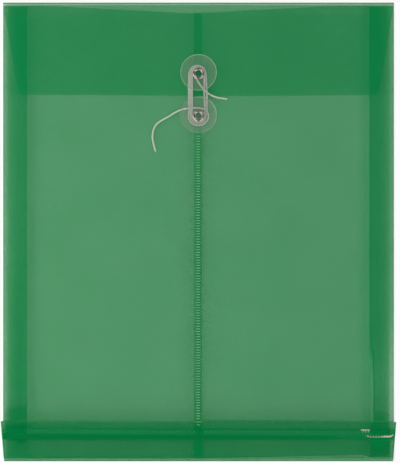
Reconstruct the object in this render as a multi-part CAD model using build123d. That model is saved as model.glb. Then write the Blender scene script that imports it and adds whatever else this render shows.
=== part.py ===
from build123d import *
import os
from math import radians, tan

os.makedirs("parts", exist_ok=True)

# A letter-size envelope of clear plastic film, lying flat on its back with the flap tied shut.
# X runs across it, Y towards the fold of the flap, and Z up from the table. Sizes are in millimetres.

# The folded body
BODY_WIDTH = 254.0
BODY_LENGTH = 298.45
FILM = 0.3
PLY_GAP = 0.1
FOLD_CLEARANCE = 0.2
PLEAT_DEPTH = 15.3

# The welded seam down the front, where the right half laps over the left one
SEAM_LAP = 5.2
SEAM_OFFSET = -0.55
SEAM_RAMP = 2.0

# The mouth of the front, cut as a shallow V under the flap
MOUTH_DROP_AT_SEAM = 7.3
MOUTH_SLOPE = 0.053

# The flap, narrower at its free edge
FLAP_LENGTH = 60.0
FLAP_TAPER = 10.0
FLAP_CORNER_RADIUS = 5.2

# The block bottom, folded up against the front
BASE_HEIGHT = 26.0
BASE_FLARE = 1.5
BASE_DRAW_IN = 0.7
LOWER_LIP_HEIGHT = 20.8
UPPER_LIP_LENGTH = 12.0
INNER_PLY_SETBACK = 2.2
FRONT_SETBACK = 19.0
TUCK_MARGIN = 2.0
LEFT_TUCK_DEPTH = 13.4
RIGHT_TUCK_DEPTH = 22.0
TUCK_MITRE = 4.0

# The two buttons: a clear disc on a rolled metal eyelet
BUTTON_SPACING = 27.5
UPPER_BUTTON_FROM_EDGE = 14.4
DISC_DIAMETER = 24.0
DISC_THICKNESS = 0.6
DISC_EDGE_CHAMFER = 0.15
DISC_PLAY = 0.05
DISC_STAND_OFF = 2.4
EYELET_BORE = 4.3
EYELET_WALL = 0.4
EYELET_FLANGE_DIAMETER = 7.2
EYELET_CROWN = 0.5
EYELET_CROWN_WIDTH = 0.75
EYELET_LIP_DROP = 0.15
EYELET_CLINCH = 0.3
EYELET_CLINCH_CHAMFER = 0.12
SHOULDER_DIAMETER = 6.4
EYELET_CLEARANCE = 0.05

# The string, wound round both eyelets below the discs
STRING_DIAMETER = 1.1
STRING_LIFT = 0.05
WINDING_WIDTH = 13.2
WINDING_OFFSET = -0.3
WINDING_PAST_UPPER = 5.05
WINDING_PAST_LOWER = 7.2
WINDING_INNER_RADIUS = 3.45
WINDING_SLOPE_LENGTH = 5.6
WINDING_SLOPE_END = 0.5

# The free ends of the string: X and Y on the envelope, and height above the front's upper face
LONG_TAIL = [
    (6.4, 75.0, 2.05),
    (4.4, 79.6, 2.1),
    (-3.0, 81.0, 2.14),
    (-12.0, 79.1, 1.85),
    (-24.4, 72.4, 0.62),
    (-30.4, 64.5, 0.6),
    (-28.0, 52.0, 0.62),
]
SHORT_TAIL = [
    (-1.3, 99.6, 1.7),
    (2.0, 93.7, 2.72),
    (7.2, 89.4, 2.75),
    (13.0, 87.1, 1.3),
    (19.0, 86.5, 0.6),
]
TANGENT_SHARE = 0.45

# Levels of the plies above the table, from the back to the flap
Y_TOP = BODY_LENGTH / 2
Y_BOTTOM = -BODY_LENGTH / 2
HALF_WIDTH = BODY_WIDTH / 2
PITCH = FILM + PLY_GAP
Z_BACK = 0.0
Z_PLEAT_BACK = PITCH
Z_PLEAT_FRONT = 2 * PITCH
Z_FRONT = 3 * PITCH
Z_LAP = Z_FRONT + FILM
LAP_TOP = Z_LAP + FILM
Z_FLAP = LAP_TOP + EYELET_CLEARANCE + EYELET_CLINCH
FLAP_TOP = Z_FLAP + FILM
Z_INNER_PLY = LAP_TOP + PLY_GAP
Z_TUCK = Z_INNER_PLY + PITCH
Z_LOWER_LIP = Z_TUCK + PITCH
Z_UPPER_LIP = Z_LOWER_LIP + PITCH
TALL = 4 * Z_UPPER_LIP

# Folds are rolled round these axes, which are also the hinges of the flap and of the base
TOP_FOLD_RADIUS = FLAP_TOP / 2
TOP_AXIS_Y = Y_TOP - TOP_FOLD_RADIUS
BASE_FOLD_RADIUS = (Z_LOWER_LIP + FILM) / 2
BASE_AXIS_Y = Y_BOTTOM + BASE_FOLD_RADIUS
BACK_TOP = TOP_AXIS_Y - TOP_FOLD_RADIUS - FOLD_CLEARANCE
BACK_BOTTOM = BASE_AXIS_Y + BASE_FOLD_RADIUS + FOLD_CLEARANCE
FRONT_BOTTOM = Y_BOTTOM + FRONT_SETBACK
BASE_TOP = Y_BOTTOM + BASE_HEIGHT
BASE_TOP_WIDTH = BODY_WIDTH + 2 * BASE_FLARE
BASE_BOTTOM_WIDTH = BODY_WIDTH - 2 * BASE_DRAW_IN
FLAP_EDGE = Y_TOP - FLAP_LENGTH

# Places of the seam and the buttons
LAP_LEFT = SEAM_OFFSET - SEAM_LAP / 2
LAP_RIGHT = SEAM_OFFSET + SEAM_LAP / 2
UPPER_BUTTON_Y = FLAP_EDGE + UPPER_BUTTON_FROM_EDGE
LOWER_BUTTON_Y = UPPER_BUTTON_Y - BUTTON_SPACING
BORE_RADIUS = EYELET_BORE / 2
BARREL_RADIUS = BORE_RADIUS + EYELET_WALL
FLANGE_RADIUS = EYELET_FLANGE_DIAMETER / 2
SHOULDER_RADIUS = SHOULDER_DIAMETER / 2
PUNCH_RADIUS = BARREL_RADIUS + EYELET_CLEARANCE


def slab(x0, x1, y0, y1, z):
    """A flat ply of film between the given edges, with its lower face at z."""
    return Pos((x0 + x1) / 2, (y0 + y1) / 2, z + FILM / 2) * Box(x1 - x0, y1 - y0, FILM)


def cutter(points):
    """A prism taller than the envelope, over an outline in X and Y."""
    outline = make_face(Polyline(*points, close=True))
    return Pos(0, 0, -TALL / 2) * extrude(outline, TALL)


def half_roll(radius, side):
    """The cross-section of a sheet folded back on itself: half a ring, on one side of its axis."""
    ring = Circle(radius) - Circle(radius - FILM)
    return ring & Pos(side * radius, 0) * Rectangle(2 * radius, 4 * radius)


def along_x(section, width):
    """A cross-section in Y and Z, drawn out across the envelope."""
    return extrude(Plane.YZ * section, width / 2, both=True)


def along_y(section, y0, y1):
    """A cross-section in X and Z, drawn out along the envelope."""
    middle = Plane((0, (y0 + y1) / 2, 0), x_dir=(1, 0, 0), z_dir=(0, -1, 0))
    return extrude(middle * section, (y1 - y0) / 2, both=True)


def flat_section(a, b, z):
    """A straight stretch of film in a cross-section, from a to b."""
    return Pos((a + b) / 2, z + FILM / 2) * Rectangle(abs(b - a), FILM)


def body_outline():
    """The body seen from above: straight sides that draw in beside the folded bottom."""
    foot = BASE_BOTTOM_WIDTH / 2
    return cutter(
        [
            (-HALF_WIDTH, Y_TOP),
            (HALF_WIDTH, Y_TOP),
            (HALF_WIDTH, BASE_TOP),
            (foot, Y_BOTTOM),
            (-foot, Y_BOTTOM),
            (-HALF_WIDTH, BASE_TOP),
        ]
    )


def base_outline():
    """The folded bottom seen from above: its upper corners stand out past the sides."""
    head = BASE_TOP_WIDTH / 2
    foot = BASE_BOTTOM_WIDTH / 2
    return cutter([(-head, BASE_TOP), (head, BASE_TOP), (foot, Y_BOTTOM), (-foot, Y_BOTTOM)])


def mouth_outline():
    """The front seen from above: a V-shaped mouth, level where it would meet the fold."""
    low = Y_TOP - MOUTH_DROP_AT_SEAM
    reach = (BACK_TOP - low) / MOUTH_SLOPE
    return cutter(
        [
            (-HALF_WIDTH, FRONT_BOTTOM),
            (-HALF_WIDTH, BACK_TOP),
            (-reach, BACK_TOP),
            (0, low),
            (reach, BACK_TOP),
            (HALF_WIDTH, BACK_TOP),
            (HALF_WIDTH, FRONT_BOTTOM),
        ]
    )


def punch(y):
    """The hole in a sheet for an eyelet on the centre line."""
    return Pos(0, y, 0) * Cylinder(PUNCH_RADIUS, TALL)


def side_fold_radius():
    """The tight fold at each side, round two plies."""
    return FILM + PLY_GAP / 2


def back_panel():
    reach = HALF_WIDTH - side_fold_radius()
    return slab(-reach, reach, BACK_BOTTOM, BACK_TOP, Z_BACK) & body_outline()


def pleat_ply(side, fold_z, ply_z, y0, y1):
    """Half of a side pleat: the fold at the edge and the ply that runs in to the inner crease."""
    radius = side_fold_radius()
    edge = side * (HALF_WIDTH - radius)
    crease = side * (HALF_WIDTH - PLEAT_DEPTH)
    section = Pos(edge, fold_z) * half_roll(radius, side) + flat_section(edge, crease, ply_z)
    return along_y(section, y0, y1) & body_outline()


def gusset_back(side):
    fold_z = Z_BACK + side_fold_radius()
    return pleat_ply(side, fold_z, Z_PLEAT_BACK, BACK_BOTTOM, BACK_TOP)


def gusset_front(side):
    fold_z = Z_FRONT + FILM - side_fold_radius()
    return pleat_ply(side, fold_z, Z_PLEAT_FRONT, FRONT_BOTTOM, BACK_TOP)


def front_left_panel():
    edge = HALF_WIDTH - side_fold_radius()
    panel = slab(-edge, LAP_RIGHT, FRONT_BOTTOM, BACK_TOP, Z_FRONT)
    return (panel & mouth_outline()) - punch(LOWER_BUTTON_Y)


def front_right_panel():
    """The right half steps up over the left half's edge and lies on it as the welded lap."""
    edge = HALF_WIDTH - side_fold_radius()
    step = LAP_RIGHT + PLY_GAP
    lower = [(LAP_LEFT, Z_LAP), (step, Z_LAP), (step + SEAM_RAMP, Z_FRONT), (edge, Z_FRONT)]
    upper = [(x, z + FILM) for x, z in reversed(lower)]
    section = make_face(Polyline(*lower, *upper, close=True))
    panel = along_y(section, FRONT_BOTTOM, BACK_TOP)
    return (panel & mouth_outline()) - punch(LOWER_BUTTON_Y)


def flap_panel():
    """The flap with its rolled fold, trimmed to a trapezium with rounded corners."""
    section = Pos(TOP_AXIS_Y, TOP_FOLD_RADIUS) * half_roll(TOP_FOLD_RADIUS, 1)
    section += flat_section(FLAP_EDGE, TOP_AXIS_Y, Z_FLAP)
    half_edge = HALF_WIDTH - FLAP_TAPER
    outline = make_face(
        Polyline(
            (-HALF_WIDTH, Y_TOP),
            (-HALF_WIDTH, TOP_AXIS_Y),
            (-half_edge, FLAP_EDGE),
            (half_edge, FLAP_EDGE),
            (HALF_WIDTH, TOP_AXIS_Y),
            (HALF_WIDTH, Y_TOP),
            close=True,
        )
    )
    outline = fillet(outline.vertices().sort_by(Axis.Y)[:2], FLAP_CORNER_RADIUS)
    trim = Pos(0, 0, -TALL / 2) * extrude(outline, TALL)
    return (along_x(section, BODY_WIDTH) & trim) - punch(UPPER_BUTTON_Y)


def base_lower_lip():
    """The back's lower end, rolled round the bottom fold and laid up against the front."""
    section = Pos(BASE_AXIS_Y, BASE_FOLD_RADIUS) * half_roll(BASE_FOLD_RADIUS, -1)
    section += flat_section(BASE_AXIS_Y, Y_BOTTOM + LOWER_LIP_HEIGHT, Z_LOWER_LIP)
    return along_x(section, BASE_TOP_WIDTH) & base_outline()


def base_upper_lip():
    """The front's lower end: an inner ply that folds over at the top and laps on the lower lip."""
    radius = (Z_UPPER_LIP + FILM - Z_INNER_PLY) / 2
    fold_y = BASE_TOP - radius
    section = Pos(fold_y, Z_INNER_PLY + radius) * half_roll(radius, 1)
    section += flat_section(Y_BOTTOM + INNER_PLY_SETBACK, fold_y, Z_INNER_PLY)
    section += flat_section(BASE_TOP - UPPER_LIP_LENGTH, fold_y, Z_UPPER_LIP)
    return along_x(section, BASE_TOP_WIDTH) & base_outline()


def corner_tuck(side, depth):
    """The end of a pleat, folded flat inside the bottom with a mitred lower edge."""
    top = BASE_TOP - TUCK_MARGIN
    inner = side * (HALF_WIDTH - PLEAT_DEPTH)
    outer = side * (HALF_WIDTH - TUCK_MARGIN)
    apex = (inner + outer) / 2
    low = BASE_TOP - depth
    trim = cutter(
        [(inner, top), (outer, top), (outer, low + TUCK_MITRE), (apex, low), (inner, low + TUCK_MITRE)]
    )
    return slab(min(inner, outer), max(inner, outer), low, top, Z_TUCK) & trim


def eyelet(y, sheet_low, sheet_top):
    """A turned ring: clinched under the sheet, shouldered below the disc and rolled over its top."""
    disc_low = sheet_top + DISC_STAND_OFF
    seat = disc_low + DISC_THICKNESS + DISC_PLAY
    foot = sheet_low - EYELET_CLINCH
    top = seat + EYELET_CROWN
    crown_out = FLANGE_RADIUS - (FLANGE_RADIUS - BORE_RADIUS - EYELET_CROWN_WIDTH) / 2
    section = make_face(
        Polyline(
            (BORE_RADIUS, foot),
            (FLANGE_RADIUS - EYELET_CLINCH_CHAMFER, foot),
            (FLANGE_RADIUS, foot + EYELET_CLINCH_CHAMFER),
            (FLANGE_RADIUS, sheet_low),
            (BARREL_RADIUS, sheet_low),
            (BARREL_RADIUS, sheet_top),
            (SHOULDER_RADIUS, sheet_top),
            (SHOULDER_RADIUS, disc_low - DISC_PLAY),
            (BARREL_RADIUS, disc_low - DISC_PLAY),
            (BARREL_RADIUS, seat),
            (FLANGE_RADIUS, seat),
            (FLANGE_RADIUS, top - 2 * EYELET_LIP_DROP),
            (crown_out, top),
            (crown_out - EYELET_CROWN_WIDTH, top),
            (BORE_RADIUS, top - EYELET_LIP_DROP),
            close=True,
        )
    )
    return Pos(0, y, 0) * revolve(Plane.XZ * section, Axis.Z)


def disc(y, sheet_top):
    """A flat clear washer with softened edges, held below the eyelet's flange."""
    blank = Circle(DISC_DIAMETER / 2) - Circle(PUNCH_RADIUS)
    washer = extrude(blank, DISC_THICKNESS)
    rim = washer.edges().filter_by(GeomType.CIRCLE).group_by(SortBy.RADIUS)[-1]
    washer = chamfer(rim, DISC_EDGE_CHAMFER)
    return Pos(0, y, sheet_top + DISC_STAND_OFF) * washer


def string_winding():
    """The outer shape of all the turns: a flat loop that steps down off the flap's edge."""
    top = UPPER_BUTTON_Y + WINDING_PAST_UPPER
    bottom = LOWER_BUTTON_Y - WINDING_PAST_LOWER
    outer = SlotOverall(top - bottom, WINDING_WIDTH, rotation=90)
    inner = SlotCenterToCenter(BUTTON_SPACING, 2 * WINDING_INNER_RADIUS, rotation=90)
    middle = (UPPER_BUTTON_Y + LOWER_BUTTON_Y) / 2
    loop = Pos(WINDING_OFFSET, (top + bottom) / 2) * outer - Pos(0, middle) * inner
    step_end = FLAP_EDGE - WINDING_SLOPE_END
    low = LAP_TOP + STRING_LIFT
    high = FLAP_TOP + STRING_LIFT
    under = [
        (bottom, low),
        (step_end - WINDING_SLOPE_LENGTH, low),
        (step_end, high),
        (top, high),
    ]
    over = [(y, z + STRING_DIAMETER) for y, z in reversed(under)]
    layer = along_x(make_face(Polyline(*under, *over, close=True)), 2 * WINDING_WIDTH)
    return extrude(loop, TALL) & layer


def tail(route):
    """A free end of the string: straight runs joined by arcs as large as the runs allow."""
    points = [Vector(x, y, Z_FRONT + FILM + z) for x, y, z in route]
    runs = [b - a for a, b in zip(points, points[1:])]
    radii = []
    for before, after in zip(runs, runs[1:]):
        half_turn = radians(before.get_angle(after)) / 2
        radii.append(TANGENT_SHARE * min(before.length, after.length) / tan(half_turn))
    print("tail radii", [round(r, 1) for r in radii])
    path = FilletPolyline(*points, radius=radii)
    section = Plane(path @ 0, z_dir=path % 0) * Circle(STRING_DIAMETER / 2)
    tube = sweep(section, path)
    filled = tube.volume / (section.area * path.length)
    print("tail length", round(path.length, 2), "volume ratio", round(filled, 4))
    return tube


PARTS = {
    "back_panel": back_panel(),
    "left_gusset_back": gusset_back(-1),
    "right_gusset_back": gusset_back(1),
    "left_gusset_front": gusset_front(-1),
    "right_gusset_front": gusset_front(1),
    "front_left_panel": front_left_panel(),
    "front_right_panel": front_right_panel(),
    "flap_panel": flap_panel(),
    "base_lower_lip": base_lower_lip(),
    "base_upper_lip": base_upper_lip(),
    "left_corner_tuck": corner_tuck(-1, LEFT_TUCK_DEPTH),
    "right_corner_tuck": corner_tuck(1, RIGHT_TUCK_DEPTH),
    "upper_eyelet": eyelet(UPPER_BUTTON_Y, Z_FLAP, FLAP_TOP),
    "lower_eyelet": eyelet(LOWER_BUTTON_Y, Z_FRONT, LAP_TOP),
    "upper_disc": disc(UPPER_BUTTON_Y, FLAP_TOP),
    "lower_disc": disc(LOWER_BUTTON_Y, LAP_TOP),
    "string_winding": string_winding(),
    "string_long_tail": tail(LONG_TAIL),
    "string_short_tail": tail(SHORT_TAIL),
}

for name, solid in PARTS.items():
    export_step(solid, f"parts/{name}.step")
print("top axis", round(TOP_AXIS_Y, 4), round(TOP_FOLD_RADIUS, 4))
print("base axis", round(BASE_AXIS_Y, 4), round(BASE_FOLD_RADIUS, 4))
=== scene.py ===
# %% [markdown]
# # A string tie envelope of clear green film
# The envelope lies flat on its back with its flap tied shut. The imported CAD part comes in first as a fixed
# frame: its bodies carry everything that is made here, so the flap, the front and the base can still move.
# The envelope's sizes are written in millimetres and turned into metres when a mesh is made.

import bpy
import numpy as np
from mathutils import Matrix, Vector


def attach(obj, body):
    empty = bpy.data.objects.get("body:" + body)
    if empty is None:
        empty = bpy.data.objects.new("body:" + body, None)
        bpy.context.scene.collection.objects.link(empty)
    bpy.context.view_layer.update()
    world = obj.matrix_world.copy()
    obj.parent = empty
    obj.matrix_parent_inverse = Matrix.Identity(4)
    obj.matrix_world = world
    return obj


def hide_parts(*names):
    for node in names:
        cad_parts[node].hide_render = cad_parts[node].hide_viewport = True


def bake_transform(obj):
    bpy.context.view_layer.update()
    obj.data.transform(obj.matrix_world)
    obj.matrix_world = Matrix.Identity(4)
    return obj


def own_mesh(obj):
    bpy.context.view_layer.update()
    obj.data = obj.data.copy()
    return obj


MM = 0.001
PER_METRE = 1000.0
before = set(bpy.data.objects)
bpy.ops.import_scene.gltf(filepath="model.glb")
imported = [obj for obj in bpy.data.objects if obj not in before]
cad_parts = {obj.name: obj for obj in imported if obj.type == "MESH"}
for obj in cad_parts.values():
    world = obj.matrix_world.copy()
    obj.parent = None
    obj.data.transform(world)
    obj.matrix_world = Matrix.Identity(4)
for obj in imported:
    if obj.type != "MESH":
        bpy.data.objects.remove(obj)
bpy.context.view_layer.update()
scene = bpy.context.scene

# %% [markdown]
# ## The camera
# The photograph was taken from straight above with a long lens, so the sides of the envelope stay parallel.
# A camera with no rotation already looks down -Z with +Y up. The picture is taller than wide, and Blender's
# sensor size belongs to the longer side, so the height of the view decides the distance. A line of sight
# crosses many faces of clear film, so far more see-through faces are allowed than by default.

# %% Camera above the envelope
VIEW_HEIGHT = 301.4
VIEW_CENTRE = (0.96, 0.2)
LENS = 300.0
SENSOR = 36.0
LEVEL = 2.0
CLEAR_FACES = 64

camera_data = bpy.data.cameras.new("camera")
camera_data.lens = LENS
camera_data.sensor_width = SENSOR
camera = bpy.data.objects.new("camera", camera_data)
scene.collection.objects.link(camera)
distance = VIEW_HEIGHT * LENS / SENSOR
camera.location = Vector((*VIEW_CENTRE, distance + LEVEL)) * MM
scene.camera = camera
scene.view_settings.view_transform = "Standard"
scene.cycles.transparent_max_bounces = CLEAR_FACES
print("camera height in mm", round(distance, 1))

# %% [markdown]
# ## Grids become meshes
# Film, discs and eyelets are all surfaces, so each of them is three arrays of the same shape, one for each
# of X, Y and Z. A face is a cell of that grid. Working out whole arrays is quick, and the formula of a
# shape stays in sight.

# %% From arrays to an object
def surface(name, x, y, z, wrap_rows=False, wrap_cols=False):
    """A mesh whose faces are a grid's cells: point (i, j) is (x, y, z)[i, j]. Wrapping joins its ends."""
    x, y, z = np.broadcast_arrays(x, y, z)
    rows, cols = x.shape
    index = np.arange(rows * cols).reshape(rows, cols)
    if wrap_rows:
        index = np.vstack([index, index[:1]])
    if wrap_cols:
        index = np.hstack([index, index[:, :1]])
    corners = [index[:-1, :-1], index[:-1, 1:], index[1:, 1:], index[1:, :-1]]
    faces = np.stack(corners, -1).reshape(-1, 4)
    points = np.stack([x, y, z], -1).reshape(-1, 3) * MM
    mesh = bpy.data.meshes.new(name)
    mesh.from_pydata(points.tolist(), [], faces.tolist())
    mesh.shade_smooth()
    piece = bpy.data.objects.new(name, mesh)
    scene.collection.objects.link(piece)
    return piece


def paint(piece, **layers):
    """Stores numbers on the points of a piece, for its finish to read by name."""
    for name, values in layers.items():
        stored = piece.data.attributes.new(name, "FLOAT", "POINT")
        stored.data.foreach_set("value", np.ascontiguousarray(np.ravel(values), np.float32))


def smooth(t):
    """The smooth step 3t^2 - 2t^3, held at 0 and 1 outside."""
    t = np.clip(t, 0.0, 1.0)
    return t * t * (3.0 - 2.0 * t)


def bump_at(value, centre, width):
    """A soft hill of height 1: exp(-((value - centre) / width)^2)."""
    return np.exp(-(((value - centre) / width) ** 2))


# %% [markdown]
# ## The string's route
# One limp cotton string ties the flap. It starts under the upper disc, runs down to the lower eyelet three
# times and back up twice, comes out to the right of the lower eyelet, crosses over its own strands and ends
# in a free tail. Its route is a NURBS spline: half of an octagon of control points takes it round an
# eyelet, because such a spline follows a circle about 0.925 as large as the octagon. The discs hang
# loosely, so the eyelets sit a little below their middle.

# %% Places of the two buttons
UPPER = np.array([0.0, 103.625])
LOWER = np.array([0.0, 76.125])
PLAY = np.array([0.0, -0.6])
UPPER_HOLE = UPPER + PLAY
LOWER_HOLE = LOWER + PLAY
STRING = 1.1
ON_FLAP = 3.05
ON_FRONT = 2.4
ON_PANEL = 2.08
OCTAGON_FIT = 0.925


def half_octagon(centre, wide, high, first, last, height):
    """Five control points round an eyelet, from one angle to another in degrees, on an ellipse."""
    angle = np.radians(np.linspace(first, last, 5))
    x = centre[0] + wide / OCTAGON_FIT * np.cos(angle)
    y = centre[1] + high / OCTAGON_FIT * np.sin(angle)
    return list(zip(x, y, np.full(len(angle), height)))


# %% Control points of the long and the short piece
long_route = [
    (-1.6, 106.4, ON_FLAP),
    (-3.6, 105.1, ON_FLAP),
    (-4.2, 101.4, ON_FLAP),
    (-4.2, 96.0, ON_FLAP),
    (-4.2, 90.2, ON_FLAP),
    (-4.2, 84.8, ON_FRONT),
    (-4.15, 79.5, ON_FRONT),
    *half_octagon(LOWER_HOLE + (-0.1, 0), 3.85, 3.8, 180, 360, ON_FRONT),
    (4.05, 80.0, ON_FRONT),
    (4.05, 84.8, ON_FRONT),
    (3.75, 90.2, ON_FLAP),
    (3.65, 96.0, ON_FLAP),
    *half_octagon(UPPER_HOLE + (-0.72, 0), 4.15, 4.0, 0, 180, ON_FLAP),
    (-5.3, 96.5, ON_FLAP),
    (-5.3, 90.2, ON_FLAP),
    (-5.3, 84.8, ON_FRONT),
    (-5.25, 79.5, ON_FRONT),
    *half_octagon(LOWER_HOLE + (-0.1, 0), 4.95, 4.9, 180, 360, ON_FRONT),
    (5.35, 80.0, ON_FRONT),
    (5.4, 84.8, ON_FRONT),
    (5.55, 90.2, ON_FLAP),
    (4.9, 97.0, ON_FLAP),
    *half_octagon(UPPER_HOLE + (-0.72, 0), 5.2, 5.1, 0, 180, ON_FLAP),
    (-6.38, 96.5, ON_FLAP),
    (-6.38, 90.2, ON_FLAP),
    (-6.36, 84.8, ON_FRONT),
    (-6.3, 79.5, ON_FRONT),
    *half_octagon(LOWER_HOLE + (-0.15, -0.05), 6.2, 5.98, 180, 315, ON_FRONT),
    (6.5, 73.9, ON_FRONT + 0.35),
    (6.45, 77.0, 3.3),
    (4.4, 79.4, 3.56),
    (1.4, 80.4, 3.58),
    (-3.6, 80.7, 3.58),
    (-7.6, 80.3, 3.58),
    (-11.0, 79.6, 2.7),
    (-15.2, 77.8, ON_PANEL),
    (-19.4, 75.0, ON_PANEL),
    (-24.4, 72.4, ON_PANEL),
    (-28.2, 69.6, ON_PANEL),
    (-30.0, 64.6, ON_PANEL),
    (-29.9, 58.6, ON_PANEL),
    (-27.8, 51.9, ON_PANEL),
]
short_route = [
    (-2.3, 105.2, 4.0),
    (-3.05, 103.5, 4.0),
    (-2.75, 101.7, 4.0),
    (-1.75, 100.1, 4.0),
    (-0.7, 98.4, 4.05),
    (0.3, 96.7, 4.08),
    (1.8, 94.5, 4.08),
    (3.6, 92.2, 4.1),
    (6.5, 89.8, 4.08),
    (9.6, 88.1, 3.2),
    (12.4, 87.4, 2.3),
    (15.6, 86.8, ON_PANEL),
    (18.9, 86.45, ON_PANEL),
]
print("control points", len(long_route), len(short_route))


# %% [markdown]
# ## From route to twisted string
# Blender works out the spline's own points when a curve with no thickness is made into a mesh. A cotton
# string has three plies twisted together, so a circle is not enough: the radius swells three times round,
# and that pattern turns as it goes along. Each ring of the tube has one axis level, and it is a little
# wider than high, because the string lies pressed against what is under it.

# %% The spline's points
SPLINE_ORDER = 3
SPLINE_STEPS = 16


def spline_points(name, route):
    """The route's NURBS line as an array of points in metres."""
    data = bpy.data.curves.new(name, "CURVE")
    data.dimensions = "3D"
    data.resolution_u = SPLINE_STEPS
    line = data.splines.new("NURBS")
    line.points.add(len(route) - 1)
    control = np.column_stack([np.array(route) * MM, np.ones(len(route))])
    line.points.foreach_set("co", control.ravel())
    line.order_u = SPLINE_ORDER
    line.use_endpoint_u = True
    curve = bpy.data.objects.new(name, data)
    scene.collection.objects.link(curve)
    mesh = bpy.data.meshes.new_from_object(curve.evaluated_get(bpy.context.evaluated_depsgraph_get()))
    flat = np.zeros(len(mesh.vertices) * 3, np.float32)
    mesh.vertices.foreach_get("co", flat)
    bpy.data.objects.remove(curve)
    return flat.reshape(-1, 3).astype(float)


# %% The twisted tube
PLIES = 3
TWIST_PITCH = 3.4
AROUND = 24
CORE = 0.96
SWELL = 0.09
WIDE, HIGH = 1.1, 0.92
TIP = 0.2
NEAR_BUTTONS_HALF = 9.0


def twisted_string(name, route):
    """Oval rings of radius r (1 + swell cos(3 (angle - 2 pi s / pitch))), at distance s along the line."""
    centre = spline_points(name, route) / MM
    step = np.linalg.norm(np.diff(centre, axis=0), axis=1)
    s = np.concatenate([[0.0], np.cumsum(step)])
    tangent = np.gradient(centre, axis=0)
    tangent /= np.linalg.norm(tangent, axis=1, keepdims=True)
    side = np.cross(tangent, (0.0, 0.0, 1.0))
    side /= np.linalg.norm(side, axis=1, keepdims=True)
    over = np.cross(side, tangent)
    angle = np.linspace(0, 2 * np.pi, AROUND, endpoint=False)
    turn = angle[None, :] - 2 * np.pi * s[:, None] / TWIST_PITCH
    ends = np.minimum(s, s[-1] - s)[:, None]
    taper = 0.55 + 0.45 * smooth(ends / 0.7)
    radius = STRING / 2 * CORE * (1 + SWELL * np.cos(PLIES * turn)) * taper
    across = WIDE * side[:, None, :] * np.cos(angle)[None, :, None]
    ring = across + HIGH * over[:, None, :] * np.sin(angle)[None, :, None]
    points = centre[:, None, :] + ring * radius[:, :, None]
    points[0] = points[0] * TIP + centre[0] * (1 - TIP)
    points[-1] = points[-1] * TIP + centre[-1] * (1 - TIP)
    piece = surface(name, points[..., 0], points[..., 1], points[..., 2], wrap_cols=True)
    # Darker within this distance of the centre line, where the turns between the buttons lie.
    handled = smooth((NEAR_BUTTONS_HALF - np.abs(points[..., 0])) / 2.0)
    # The grooves between the plies get a painted shade.
    paint(piece, groove=0.5 - 0.5 * np.cos(PLIES * turn), handled=handled)
    return piece, centre * MM, s[-1]


# %% Make both pieces of string
long_string, long_path, long_length = twisted_string("tie_string", long_route)
short_string, short_path, short_length = twisted_string("tie_string_end", short_route)
print("string lengths in mm", round(long_length, 1), round(short_length, 1))

# %% [markdown]
# The string rides on the flap: both of its pieces are attached to the flap's body, and the CAD solids that
# they stand for are hidden.

for piece, path, length, solids in (
    (long_string, long_path, long_length, ("string_winding", "string_long_tail")),
    (short_string, short_path, short_length, ("string_short_tail",)),
):
    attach(piece, "flap")
    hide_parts(*solids)
    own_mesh(piece)
    length * MM
print("string on the flap", long_string.name, short_string.name)

# %% [markdown]
# ## Shader maths as Python
# A finish is a little network of nodes. Writing `1 - mask` is easier to read than wiring a Math node by
# hand, so one small class wraps a node's output: operators on it add the Math nodes, and one method makes
# every other node.

# %% The wire class
class Wire:
    """An output of a shader node. Operators on it add Math nodes to the same tree."""

    def __init__(self, tree, socket):
        self.tree = tree
        self.socket = socket

    @classmethod
    def node(cls, tree, kind, settings=None, sockets=None):
        """Adds a node: first its settings, then values or links for its input sockets, by name or number."""
        made = tree.nodes.new(kind)
        for key, value in (settings or {}).items():
            setattr(made, key, value)
        for key, value in (sockets or {}).items():
            found = made.inputs[key] if isinstance(key, int) else next(
                i for i in made.inputs if i.name == key and i.enabled
            )
            if isinstance(value, Wire):
                tree.links.new(value.socket, found)
            else:
                found.default_value = value
        return cls(tree, next(o for o in made.outputs if o.enabled))

    def out(self, name):
        """Another output of the same node."""
        return Wire(self.tree, self.socket.node.outputs[name])

    def into(self, shader, name):
        """Links this wire to an input of a shader."""
        self.tree.links.new(self.socket, shader.inputs[name])

    def math(self, operation, first, second=0.0):
        """A Math node on two wires or numbers."""
        return Wire.node(self.tree, "ShaderNodeMath", {"operation": operation}, {0: first, 1: second})

    def __add__(self, other):
        return self.math("ADD", self, other)

    def __radd__(self, other):
        return self.math("ADD", other, self)

    def __sub__(self, other):
        return self.math("SUBTRACT", self, other)

    def __rsub__(self, other):
        return self.math("SUBTRACT", other, self)

    def __mul__(self, other):
        return self.math("MULTIPLY", self, other)

    def __rmul__(self, other):
        return self.math("MULTIPLY", other, self)

    def sin(self):
        return self.math("SINE", self)

    def abs(self):
        return self.math("ABSOLUTE", self)

    def clip(self):
        """Held between 0 and 1."""
        return Wire.node(self.tree, "ShaderNodeClamp", {}, {"Value": self, "Min": 0.0, "Max": 1.0})

    def mix(self, low, high):
        """The colour low where this wire is 0, and high where it is 1."""
        return Wire.node(
            self.tree, "ShaderNodeMix", {"data_type": "RGBA"}, {"Factor": self, "A": low, "B": high}
        )


def new_finish(name, **constants):
    """A material with the same values all over set straight on its Principled shader."""
    material = bpy.data.materials.new(name)
    material.use_nodes = True
    tree = material.node_tree
    shader = next(n for n in tree.nodes if n.type == "BSDF_PRINCIPLED")
    for socket, value in constants.items():
        shader.inputs[socket.replace("_", " ")].default_value = value
    return material, tree, shader


def layer(tree, name):
    """A number painted on the points of the piece."""
    return Wire.node(tree, "ShaderNodeAttribute", {"attribute_name": name}).out("Fac")


def place(tree):
    """Object coordinates, which are the envelope's own in metres."""
    return Wire.node(tree, "ShaderNodeTexCoord").out("Object")


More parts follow.
